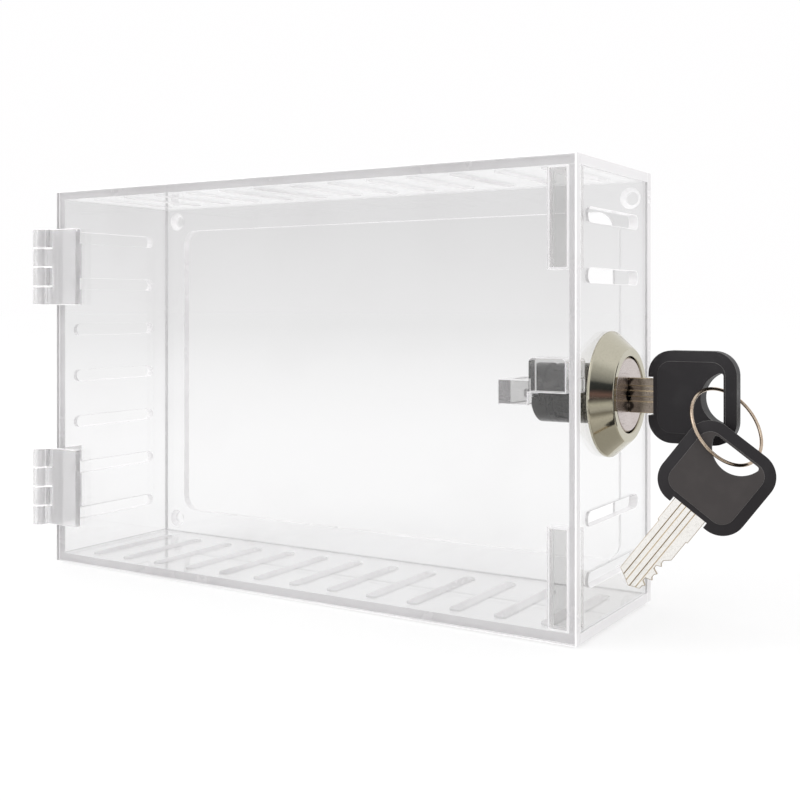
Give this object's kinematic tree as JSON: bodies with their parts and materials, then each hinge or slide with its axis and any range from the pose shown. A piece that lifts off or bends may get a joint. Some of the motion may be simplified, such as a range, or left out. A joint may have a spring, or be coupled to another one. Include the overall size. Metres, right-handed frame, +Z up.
{
  "type": "thermostat lock box",
  "caption": "Clear acrylic wall box with vent slots, a hinged front door, a keyed cam lock in one side and keys on a ring.",
  "frame": {"origin": "middle of the four screw holes, on the back face that lies against the wall", "axes": "+X to the side with the lock (right, seen from the front), +Y from the door into the wall, +Z up"},
  "size_m": [0.2704, 0.0683, 0.14],
  "materials": {
    "clear_acrylic": "clear polished acrylic sheet",
    "hinge_plastic": "clear moulded plastic with a faint grey cast",
    "pin_steel": "drawn steel wire and zinc-plated screw",
    "satin_nickel": "turned satin nickel, slightly warm",
    "bright_nickel": "polished nickel plate",
    "cam_steel": "plated pressed steel",
    "wafer_brass": "stamped brass",
    "key_plastic": "black moulded plastic with a light sheen",
    "ring_wire": "thin plated wire"
  },
  "bodies": {
    "box": {"back_plate": "clear_acrylic", "wall_top": "clear_acrylic", "wall_bottom": "clear_acrylic", "wall_left": "clear_acrylic", "wall_right": "clear_acrylic", "stop_block_upper": "clear_acrylic", "stop_block_lower": "clear_acrylic", "hinge_upper_wall_leaf": "hinge_plastic", "hinge_upper_pin": "hinge_plastic", "hinge_lower_wall_leaf": "hinge_plastic", "hinge_lower_pin": "hinge_plastic", "lock_collar": "satin_nickel", "lock_housing": "bright_nickel", "lock_sleeve": "cam_steel", "lock_nut": "cam_steel"},
    "door": {"door_panel": "clear_acrylic", "door_catch": "clear_acrylic", "catch_pin": "pin_steel", "hinge_upper_door_leaf": "hinge_plastic", "hinge_lower_door_leaf": "hinge_plastic"},
    "lock_core": {"lock_plug": "bright_nickel", "lock_wafers": "wafer_brass", "wafer_springs": "pin_steel", "stop_washer": "cam_steel", "cam": "cam_steel", "cam_washer": "pin_steel", "cam_screw": "pin_steel"},
    "first_key": {"key_1_blade": "bright_nickel", "key_1_head": "key_plastic"},
    "ring": {"key_ring": "ring_wire"},
    "spare_key": {"key_2_blade": "bright_nickel", "key_2_head": "key_plastic"}
  },
  "joints": [
    {"name": "door_swing", "type": "hinge", "parent": "box", "child": "door", "pos_m": [-0.1105, -0.0655, 0], "axis": [0, 0, -1], "range_deg": [0, 180]},
    {"name": "lock_turn", "type": "hinge", "parent": "box", "child": "lock_core", "pos_m": [0.106, -0.036, 0], "axis": [1, 0, 0], "range_deg": [0, 90]},
    {"name": "key_draw", "type": "slide", "parent": "lock_core", "child": "first_key", "axis": [1, 0, 0], "range_m": [0, 0.03]},
    {"name": "ring_swing", "type": "hinge", "parent": "first_key", "child": "ring", "pos_m": [0.13775, -0.036, 0.00268], "axis": [0, 1, 0], "range_deg": [-30, 5]},
    {"name": "spare_key_swing", "type": "hinge", "parent": "ring", "child": "spare_key", "pos_m": [0.14638, -0.04512, -0.0175], "axis": [0.2536, -0.9585, 0.1305], "range_deg": [-5, 40]}
  ]
}
